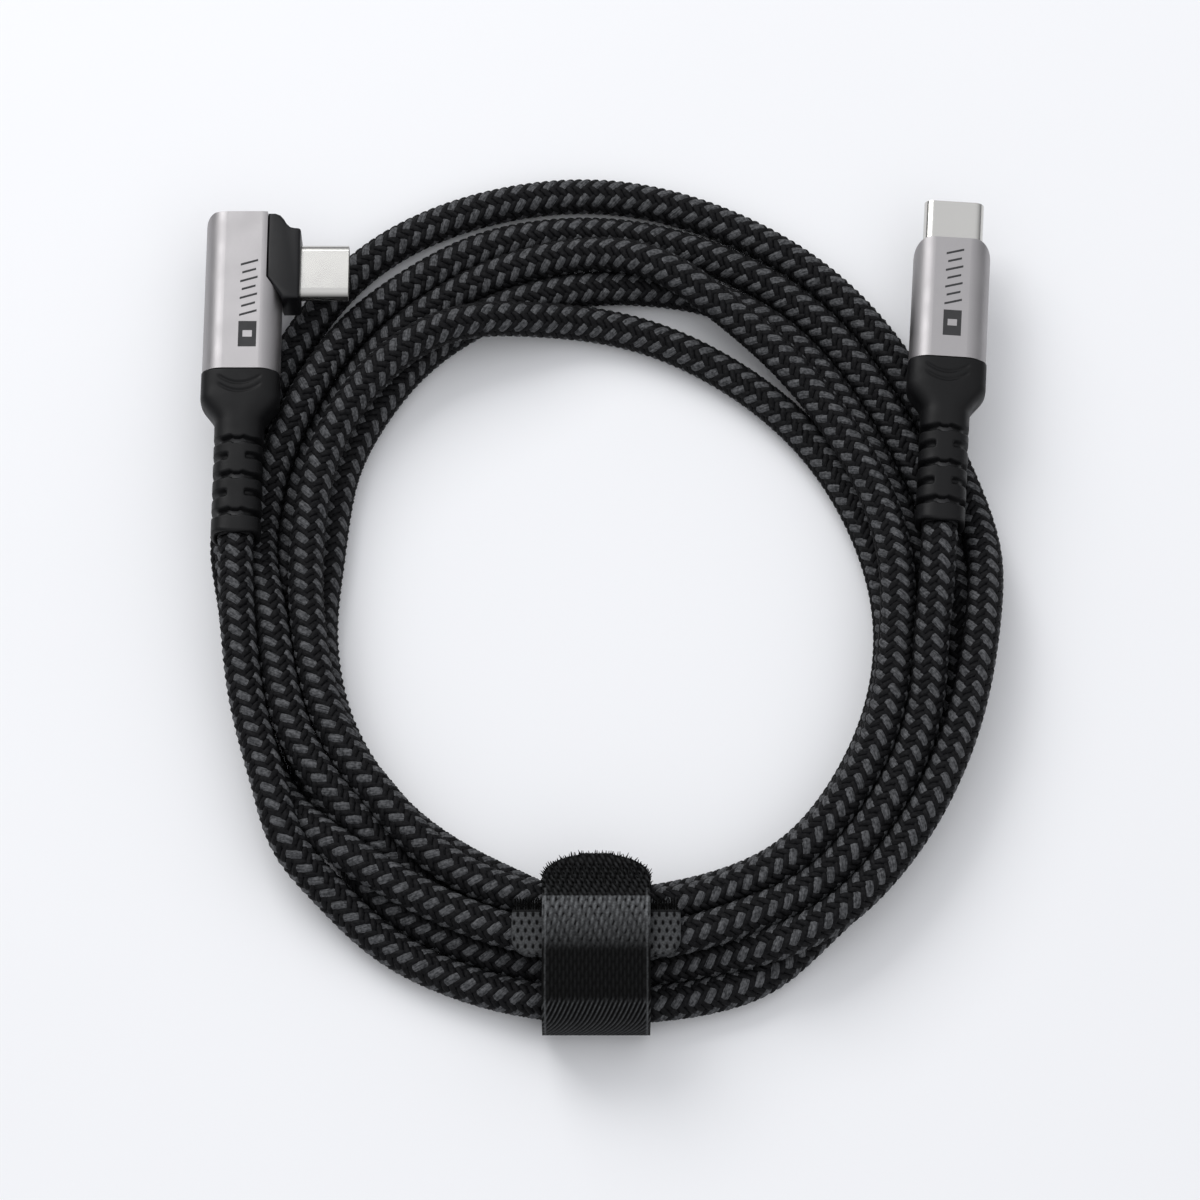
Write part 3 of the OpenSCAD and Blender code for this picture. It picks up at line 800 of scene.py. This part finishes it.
def boot_cut(x, y, z):
    """How deep the grooves, slots and creases are at the points of one ring."""
    turn = np.arctan2(z, x)
    wave = 0.20 * np.cos(3 * x / 3.4 * math.pi / 2) - 0.42 * bell(x, 0.75)
    cut = np.zeros(boot_points)
    for place_y in groove_places:
        cut += groove_depth * bell(y - place_y - wave, groove_half)
    at_side = np.clip((np.abs(x) - 1.15) / 0.4, 0, 1)
    for place_y in slot_places:
        cut += slot_depth * bell(y - place_y - 0.15 * np.cos(turn), slot_half) * at_side
    on_top = np.clip(np.abs(z) - 2.0, 0, 1)
    for place_y in crease_places:
        off_crease = y - (place_y + 0.13 * x ** 2)
        cut += crease_depth * bell(off_crease, crease_half) * np.clip((3.1 - np.abs(x)) / 0.4, 0, 1) * on_top
    return cut


def boot_rings():
    """The boot in its own frame: Y runs from its end towards the plug."""
    rings = []
    for deep in (1.8, 0.9, 0.25):
        x, z = section(cord_hole, cord_hole, 2)
        rings.append(np.stack([x, np.full(boot_points, deep), z], 1))
    stations = np.concatenate([[0.0, 0.06, 0.18, 0.36], np.arange(0.5, boot_length - 0.1, 0.13),
                               [boot_length - 0.12, boot_length - 0.03, boot_length]])
    for y in stations:
        blend = min(1, max(0, (y - stem_end) / (collar_start - stem_end)))
        blend = blend * blend * (3 - 2 * blend)
        half_w = stem_half[0] + blend * (collar_half[0] - stem_half[0])
        half_h = stem_half[1] + blend * (collar_half[1] - stem_half[1])
        rounding = end_rounding * (1 - math.sqrt(max(0, 1 - (1 - min(1, y / end_rounding)) ** 2)))
        rounding += 0.25 * max(0, (y - boot_length + 0.25) / 0.25) ** 2
        x, z = section(half_w - rounding, half_h - rounding, 2.9 + 0.9 * blend)
        turn = np.arctan2(z, x)
        end_wave = 0.22 * np.sin(turn) * np.cos(2 * turn) * bell(y, 1.6)
        keep = 1 - boot_cut(x, y, z) / np.maximum(np.hypot(x, z), 0.1)
        rings.append(np.stack([x * keep, y + end_wave, z * keep], 1))
    return np.array(rings)


# %% [markdown]
# ## The two boots in place
# Both boots come from the same mould. The angle plug points straight back, and the
# straight plug leans by a few degrees. Each boot's place goes into its mesh, so that the
# object itself stays at the origin, where a part of the CAD model has it too.

# %% Place the two boots
angle_low, angle_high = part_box("angle_boot")
angle_place = Matrix.Translation(((angle_low.x + angle_high.x) / 2, 9.8 * MM, 9 * MM))
straight_lean = math.radians(-4)
straight_mouth = Vector(from_straight_plug[0]) * MM
straight_place = Matrix.Translation(straight_mouth) @ Matrix.Rotation(straight_lean, 4, "Z")
for plug, placed in (("angle", angle_place), ("straight", straight_place)):
    boot = grow_tube(plug + "_boot_moulded", boot_rings() * MM)
    boot.data.transform(placed)
    show(boot, rubber, CABLE)
    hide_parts(plug + "_boot")
    print(boot.name, "faces:", len(boot.data.polygons))

# %% [markdown]
# ## Corner block
# The angle plug's shell comes out of a black moulded block that fills the housing's
# stepped side. Its shoulder sweeps down in an S from the top to the shell's collar. A
# shape with a plan like this is made as a joiner would: the plan is drawn with a few
# corners, raised to the block's thickness, and its edges are eased with a bevel.

# %% Corner block
step_x = 3.25
face_x = 7.9
top_y = 48.6
block_half_thick = 2.95
eased = 0.42
collar_x = 7.5
shoulder = [(4.3, 48.5), (5.0, 48.2), (5.5, 47.6), (5.9, 46.9), (6.4, 46.4), (7.0, 46.25)]
plan = [(step_x + 0.05, 38.55), (step_x + 0.05, 48.5), *shoulder, (face_x, 46.2), (face_x, 35.25),
        (5.5, 35.25), (5.2, 35.9)]
block_mesh = bmesh.new()
corners = [block_mesh.verts.new((x, y, -block_half_thick)) for x, y in reversed(plan)]
base = block_mesh.faces.new(corners)
raised = bmesh.ops.extrude_face_region(block_mesh, geom=[base])["geom"]
top_verts = [g for g in raised if isinstance(g, bmesh.types.BMVert)]
bmesh.ops.translate(block_mesh, verts=top_verts, vec=(0, 0, 2 * block_half_thick))
bmesh.ops.recalc_face_normals(block_mesh, faces=block_mesh.faces)
rims = [e for e in block_mesh.edges if abs(e.verts[0].co.z - e.verts[1].co.z) < 0.1]
rims += [e for e in block_mesh.edges if e not in rims and e.verts[0].co.x > collar_x]
bmesh.ops.bevel(block_mesh, geom=rims, offset=eased, segments=4, profile=0.5, affect="EDGES",
                material=-1, clamp_overlap=True)
bmesh.ops.scale(block_mesh, vec=(MM, MM, MM), verts=block_mesh.verts)
block = finished_mesh("corner_block_moulded", block_mesh)
block.data.transform(angle_place)
show(block, black_plastic, CABLE)
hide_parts("angle_corner_block")
print(block.name, "faces:", len(block.data.polygons))

# %% [markdown]
# ## Etched marks
# Each housing carries a small dark mark etched by laser. This one is plain and stands
# for no name: a filled block with a small window left in it, and seven slanted strokes.
# Each bar is a very thin box sunk in the top, so the mark is part of the model and needs
# no picture laid over the metal.

# %% Etched marks
etched = grained("etched_mark", (0.012, 0.012, 0.013), (0.035, 0.035, 0.037), 9000, 900,
                 (0.6, 0.75), 0.2)
mark_thick = 0.03
housing_top = 3.2
strokes = 7
stroke_pitch = 1.3


def etched_bar(shape, x, y, width, length, slant=0.0):
    """A thin bar on the mark. slant leans its ends over."""
    made = bmesh.ops.create_cube(shape, size=1.0)["verts"]
    bmesh.ops.scale(shape, vec=(width, length, mark_thick), verts=made)
    for vert in made:
        vert.co.y += slant * vert.co.x
    bmesh.ops.translate(shape, vec=(x, y, 0), verts=made)


def etched_mark(name, placed, x, y):
    """The whole mark on a housing's top: the block first, then the strokes above it."""
    shape = bmesh.new()
    etched_bar(shape, x, y + 0.75, 2.5, 1.5)
    etched_bar(shape, x - 0.95, y + 2.0, 0.6, 1.0)
    etched_bar(shape, x + 0.95, y + 2.0, 0.6, 1.0)
    etched_bar(shape, x, y + 3.2, 2.5, 1.4)
    for stroke in range(strokes):
        wide = 2.4 - 0.5 * (stroke % 2)
        etched_bar(shape, x, y + 5.2 + stroke_pitch * stroke, wide, 0.32, 0.3)
    bmesh.ops.translate(shape, vec=(0, 0, housing_top), verts=shape.verts)
    bmesh.ops.scale(shape, vec=(MM, MM, MM), verts=shape.verts)
    mark = finished_mesh(name, shape)
    mark.data.transform(placed)
    print(name, "bars:", 4 + strokes)
    return show(mark, etched, CABLE, smooth=False)


etched_mark("angle_mark", angle_place, 0.9, 27.6)
etched_mark("straight_mark", straight_place, 0.3, 27.6)

# %% [markdown]
# ## Strap
# The strap is one strip of cloth with a wide head. It starts with its head on top of
# the bundle, goes down inside the ring, under the bundle and up at the front, and its
# tail lies over the head and holds it. It is made as a band and a tail. They meet at the
# front, which keeps still when the tail is peeled open. Hooks on one face catch the
# woven loops on the other, so the faces aren't smooth. Three small patterns draw them:
# leaf-shaped stitches, slanted lines and a knitted net. The same number lifts the cloth
# and lightens its colour, a painted highlight on the raised stitches and painted shade in
# the gaps between them, so the pattern and the relief always agree.

# %% Stitch patterns
strap_half = strap_width / 2
cloth_thick = 1.0
print("strap, mm: width", strap_width, "thickness", cloth_thick)


def place_in_stitch(across, down, wide, tall):
    """Where a point lies in its own stitch, -0.5 to 0.5 both ways. Columns are staggered."""
    column = np.floor(across / wide)
    b = down / tall + 0.5 * np.mod(column, 2)
    return across / wide - column - 0.5, b - np.floor(b) - 0.5


def leaves(across, down, wide, tall, lean=0.0):
    """Leaf-shaped stitches, each column set half a leaf from the next: 0 to 1."""
    a, b = place_in_stitch(across + lean * down, down, wide, tall)
    return np.sqrt(np.clip(1 - (a / 0.42) ** 2 - (b / 0.48) ** 2, 0, 1))


def slanted(across, down, apart=0.62, lean=0.5):
    """Fine straight lines that lean one way, as woven webbing shows at a fold: 0 to 1."""
    place = (across - lean * down) / apart
    return bell(place - np.round(place), 0.2)


def net(across, down, wide=1.0, tall=2.2):
    """A knitted net: 1 on its threads, 0 in its small holes, which are in staggered rows."""
    a, b = place_in_stitch(across, down, wide / 2, tall)
    return 1 - np.clip(1.5 - 1.5 * ((a / 0.5) ** 2 + (b / 0.2) ** 2), 0, 1)


def outward_sign(line, way):
    """1 or -1, whichever points away from the bundle's middle."""
    middle = np.array((0, -48.5, 5.8))
    outward = line - middle
    sideways = np.stack([np.zeros(len(line)), -way[:, 2], way[:, 1]], 1)
    return np.sign((outward * sideways).sum(1))[:, None]


# %% [markdown]
# ## A strip of cloth
# Cloth this narrow and stiff doesn't drape: it lies where it is laid. So a flat grid is
# carried onto the strip's fold line, and each point is lifted by the stitches' relief.
# A copy of the grid becomes the back, and bridging the two rims closes the edges.


# %% A strip of cloth
def strip_of_cloth(name, line, half_width, relief, columns, rows_per_mm):
    """A strip along a line in Y and Z. relief gives each point's height, shade and stitch."""
    line = evenly(smooth_line([(0, y, z) for y, z in line], 0.25), 0.25)
    length = length_of(line)
    way = np.gradient(line, axis=0)
    way /= np.linalg.norm(way, axis=1)[:, None]
    out = np.stack([np.zeros(len(line)), -way[:, 2], way[:, 1]], 1) * outward_sign(line, way)
    shape = bmesh.new()
    bmesh.ops.create_grid(shape, x_segments=columns, y_segments=int(length * rows_per_mm), size=0.5)
    co = np.array([v.co[:] for v in shape.verts])
    across = co[:, 0] * 2
    at = (co[:, 1] + 0.5) * length
    walked = np.linspace(0, length, len(line))
    middle = between(at, walked, line)
    normal = between(at, walked, out)
    normal /= np.linalg.norm(normal, axis=1)[:, None]
    x = across * half_width(length - at)
    height, shade, stitch = relief(x, at, length)
    made = middle + normal * (cloth_thick / 2 + height)[:, None]
    made[:, 0] = x
    shade_layer = shape.verts.layers.float.new("shade")
    stitch_layer = shape.verts.layers.float.new("stitch")
    for vert, point, tone, up_value in zip(shape.verts, made * MM, shade, stitch):
        vert.co = point
        vert[shade_layer] = tone
        vert[stitch_layer] = up_value
    rim = [e for e in shape.edges if e.is_boundary]
    back = bmesh.ops.duplicate(shape, geom=shape.verts[:] + shape.edges[:] + shape.faces[:])
    back_verts = [g for g in back["geom"] if isinstance(g, bmesh.types.BMVert)]
    for vert, point, aside in zip(back_verts, middle - normal * cloth_thick / 2, x):
        vert.co = Vector((aside, point[1], point[2])) * MM
        vert[stitch_layer] = 0.2
    back_rim = [e for e in back["geom"] if isinstance(e, bmesh.types.BMEdge) and e.is_boundary]
    bmesh.ops.bridge_loops(shape, edges=rim + back_rim)
    bmesh.ops.recalc_face_normals(shape, faces=shape.faces)
    piece = finished_mesh(name, shape)
    print(name, "length, mm:", round(length, 1), "faces:", len(piece.data.polygons))
    return piece, length


# %% [markdown]
# ## The cloth's finish
# Each point of the cloth carries two numbers, shade and stitch. Together with the fuzz
# of the fibres they mix two shades: the raised stitches are painted light, and the gaps
# between them are painted shade.


# %% Strap finish
def strap_finish(name, dark, light):
    """Cloth with painted light on its raised stitches and painted shade in the gaps between them."""
    finish, tree, shader = new_finish(name, Roughness=0.75, Specular_IOR_Level=0.08)
    tone = add_node(tree, "ShaderNodeAttribute", attribute_name="shade")
    stitch = add_node(tree, "ShaderNodeAttribute", attribute_name="stitch")
    place = add_node(tree, "ShaderNodeTexCoord")
    fibre = add_node(tree, "ShaderNodeTexNoise", Scale=3500.0, Detail=3.0)
    both = add_node(tree, "ShaderNodeMath", operation="MULTIPLY")
    # Painted light and shade: stitch lightens the raised stitches and leaves the gaps dark.
    tone_stitch_light_and_fuzz = add_node(tree, "ShaderNodeMath", operation="MULTIPLY")
    mix = add_node(tree, "ShaderNodeMix", data_type="RGBA")
    mix.inputs["A"].default_value = (*dark, 1)
    mix.inputs["B"].default_value = (*light, 1)
    bump = add_node(tree, "ShaderNodeBump", Strength=0.4, Distance=0.05 * MM)
    wire(tree, (place, "Object", fibre, "Vector"), (tone, "Fac", both, 0), (stitch, "Fac", both, 1),
         (both, 0, tone_stitch_light_and_fuzz, 0), (fibre, "Fac", tone_stitch_light_and_fuzz, 1), (tone_stitch_light_and_fuzz, 0, mix, "Factor"),
         (mix, "Result", shader, "Base Color"), (fibre, "Fac", bump, "Height"),
         (bump, "Normal", shader, "Normal"))
    return finish


strap_cloth = strap_finish("strap_cloth", (0.0015, 0.0015, 0.0015), (0.30, 0.31, 0.32))
print("strap finish:", strap_cloth.name)

# %% [markdown]
# ## The band
# The band is the still part of the strip. It runs from the head on top, down inside the
# ring, under the bundle and up at the front, where its weave shows as slanted lines.

# %% The band round the bundle
band_front = 9
band_line = [(-50.5, 11.0), (-46.5, 11.05), (-42.5, 10.9), (-39.8, 9.7), (-38.35, 7.2), (-38.1, 4.2),
             (-39, 1.7), (-41.5, 0.6), (-46, 0.58), (-51, 0.58), (-55, 0.62), (-57.7, 1.7),
             (-58.8, 4.5)]


def band_relief(x, at, length):
    """A knitted net, and slanted lines at the front."""
    stitch = np.where(at > length - band_front, slanted(x, at), net(x, at))
    return 0.12 * stitch - 0.08, np.full(len(x), 0.25), stitch


band, band_length = strip_of_cloth("strap_band", band_line, lambda left: np.full(len(left), strap_half),
                                   band_relief, columns=100, rows_per_mm=5)
show(band, strap_cloth, CABLE)
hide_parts("strap_band_loops", "strap_band_hooks")

# %% [markdown]
# ## The head's ears
# The strip's head is wider than the strip, like a T, so its two ends show beside the
# tail. Each is a small grid with rounded corners and the same net. Its rim is drawn
# down to close it, and its far edge is dark with hooks.

# %% The head's two ears
head_half = 11.1
head_y = (-50.6, -43.4)
ear_top = 11.65


def ear(name, way):
    """One end of the T-shaped head, which shows beside the tail."""
    shape = bmesh.new()
    bmesh.ops.create_grid(shape, x_segments=50, y_segments=64, size=0.5)
    shade_layer = shape.verts.layers.float.new("shade")
    stitch_layer = shape.verts.layers.float.new("stitch")
    inner = strap_half - 0.8
    for vert in shape.verts:
        u = vert.co.x + 0.5
        v = vert.co.y * 2
        corner = 2.6 if v < 0 else 1.6
        reach = (1 - abs(v)) * (head_y[1] - head_y[0]) / 2
        short = corner - math.sqrt(max(0, corner ** 2 - max(0, corner - reach) ** 2))
        x = inner + u * (head_half - short - inner)
        y = (head_y[0] + head_y[1]) / 2 + v * (head_y[1] - head_y[0]) / 2
        stitch = float(net(np.array([x]), np.array([y]))[0])
        edge = min(1, (1 - abs(v)) * 5) * min(1, (1 - u) * 8)
        vert[stitch_layer] = stitch
        vert[shade_layer] = 0.36 if v < 0.62 else 0.05
        vert.co = Vector((way * x, y, ear_top - 0.3 + (0.16 * stitch + 0.2) * edge ** 0.5)) * MM
    rim = [e for e in shape.edges if e.is_boundary]
    under = bmesh.ops.extrude_edge_only(shape, edges=rim)["geom"]
    low_verts = [g for g in under if isinstance(g, bmesh.types.BMVert)]
    bmesh.ops.translate(shape, vec=(0, 0, -0.9 * MM), verts=low_verts)
    low_rim = [g for g in under if isinstance(g, bmesh.types.BMEdge) and g.is_boundary]
    bmesh.ops.holes_fill(shape, edges=low_rim)
    bmesh.ops.recalc_face_normals(shape, faces=shape.faces)
    print(name, "faces:", len(shape.faces))
    return show(finished_mesh(name, shape), strap_cloth, CABLE)


ears = [ear("strap_ear_left", -1), ear("strap_ear_right", 1)]

# %% [markdown]
# ## The tail
# The tail comes up at the front, folds over and lies on the head, and ends in a round.
# From its end it is dark with hooks, then a band of loops with a painted sheen that is
# brightest next to the dark end, then dark again, and slanted lines show at the fold.
# All of this goes by how much of the tail is left before its end.

# %% The tail over the top
tail_line = [(-58.8, 4.55), (-58.95, 7.6), (-58.4, 10.2), (-56.5, 11.8), (-53.4, 12.35),
             (-50, 12.65), (-47, 12.75), (-44, 12.6), (-41, 12.3), (-38.8, 12.15), (-36.9, 12.1)]
round_end = 3.6
dark_end_length = 5.7
loops_and_sheen_end = 13.6
fold_start = 19.6
binding_and_highlight_x = 6.65


def tail_half_width(left):
    """Half the tail's width where so much of it is left: it ends in a round."""
    short = np.clip(1 - left / round_end, 0, 1)
    return strap_half * np.maximum(0.3, (1 - short ** 2.2) ** 0.5)


def tail_relief(x, at, length):
    """Dark hooks at the end, loops with a painted sheen over the head, then dark hooks down to the front."""
    left = length - at
    to_loops_and_sheen = left - dark_end_length
    past_loops_and_sheen = left - loops_and_sheen_end
    loops_and_sheen = np.clip(to_loops_and_sheen / 0.7, 0, 1) * np.clip(-past_loops_and_sheen / 1.8, 0, 1)
    dark_end = to_loops_and_sheen < 0.35
    front = np.clip((left - fold_start) / 0.8, 0, 1)
    loops = np.maximum(0.4 * net(x, left), leaves(x, left, 0.62, 1.9, 0.15))
    hooks = leaves(x, at, 0.62, 1.25, 0.5)
    spiky = leaves(x, left, 0.5, 1.9)
    faded = np.clip(1 - loops_and_sheen * 3, 0, 1)
    stitch = loops * (1 - faded) + spiky * faded * (1 - front) + slanted(x, at) * front
    stitch = np.where(dark_end, hooks, stitch)
    # Painted sheen: the band of loops is painted lighter, most of all next to the dark end.
    shade = 0.03 + 0.9 * loops_and_sheen * (0.3 + 0.7 * np.clip(1 - to_loops_and_sheen / 6, 0, 1)) + 0.3 * front
    shade = np.where(dark_end, 0.12, shade)
    # A raised ridge along both edges, with a painted highlight: its colour is painted lighter.
    binding_and_highlight = bell(np.abs(x) - binding_and_highlight_x, 0.14) * (left > 5)
    shade = shade + 0.22 * binding_and_highlight
    stitch = np.maximum(stitch, 0.8 * binding_and_highlight)
    edge = np.clip((tail_half_width(left) - np.abs(x)) / 0.35, 0, 1)
    height = (0.20 * stitch - 0.12) * edge - 0.15 * (1 - edge)
    return height, shade, stitch


tail, tail_length = strip_of_cloth("strap_tail_cloth", tail_line, tail_half_width, tail_relief,
                                   columns=120, rows_per_mm=7)
show(tail, strap_cloth, None)
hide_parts("strap_tail_loops", "strap_tail_hooks")

# %% [markdown]
# ## Loose hooks
# The cut end and the sides of the tail are furry with the ends of the hooks. Hair would
# be the quick way, but it isn't a mesh. So each hook is a thin spike with a few faces,
# leaning its own way. The chance has a fixed start, so each run gives the same hooks.

# %% Loose hooks
chance = np.random.default_rng(7)
hook_y_step = 0.22
hook_x_step = 0.3
hook_row_step = 0.62


def spikes(name, roots, leans, body):
    """Thin tapered spikes, one at each root, along its own direction."""
    shape = bmesh.new()
    for root, lean in zip(roots, leans):
        turn = Vector(lean).to_track_quat("Z", "Y").to_matrix().to_4x4()
        height = Vector(lean).length
        at = Matrix.Translation(Vector(root) + Vector(lean) / 2) @ turn
        bmesh.ops.create_cone(shape, cap_ends=True, segments=5, radius1=0.13, radius2=0.03,
                              depth=height, matrix=at)
    bmesh.ops.scale(shape, vec=(MM, MM, MM), verts=shape.verts)
    shape_layer = shape.verts.layers.float.new("shade")
    for vert in shape.verts:
        vert[shape_layer] = 0.03
    print(name, "hooks:", len(roots))
    return show(finished_mesh(name, shape), strap_cloth, body)


tail_end_y = tail_line[-1][0]
roots = []
leans = []
for left in np.arange(0.15, 5.4, hook_y_step):
    half = float(tail_half_width(np.array([left]))[0])
    for way in (-1, 1):
        roots.append((way * (half - 0.1), tail_end_y - left, 12.3))
        leans.append((way * chance.uniform(0.1, 0.5), chance.uniform(0.1, 0.6),
                      chance.uniform(0.1, 0.5)))
for x in np.arange(-5.6, 5.7, hook_x_step):
    reach = float(np.interp(abs(x), [0, 3, 4.5, 5.8, 6.6], [0.2, 0.55, 1.1, 2.0, 3.0]))
    roots.append((x, tail_end_y - reach, 12.3))
    leans.append((chance.uniform(-0.25, 0.15), chance.uniform(0.4, 0.85),
                  chance.uniform(0.1, 0.5)))
for y in np.arange(tail_end_y - 5.4, tail_end_y - 1.1, hook_row_step):
    half = float(tail_half_width(np.array([tail_end_y - y]))[0])
    for x in np.arange(-half + 0.3, half - 0.2, hook_row_step):
        roots.append((x + chance.uniform(-0.1, 0.1), y, 12.75))
        leans.append((-chance.uniform(0.1, 0.3), chance.uniform(0.15, 0.45),
                      chance.uniform(0.15, 0.3)))
fringe = spikes("tail_end_hooks", roots, leans, TAIL)

# %% [markdown]
# ## The ears' hooks, and the tail's place
# The ears have a row of hooks along their far edge. The tail's place is then baked into
# its mesh.

# %% The ears' hooks, and the tail's place
roots = []
leans = []
for y in np.arange(-44.4, -43.0, 0.24):
    for way in (-1, 1):
        for x in np.arange(strap_half + 0.1, head_half - 0.4, 0.34):
            roots.append((way * x, y, ear_top))
            leans.append((chance.uniform(-0.2, 0.2), chance.uniform(0.2, 0.6),
                          chance.uniform(0.1, 0.4)))
spikes("ear_hooks", roots, leans, CABLE)
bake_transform(tail)
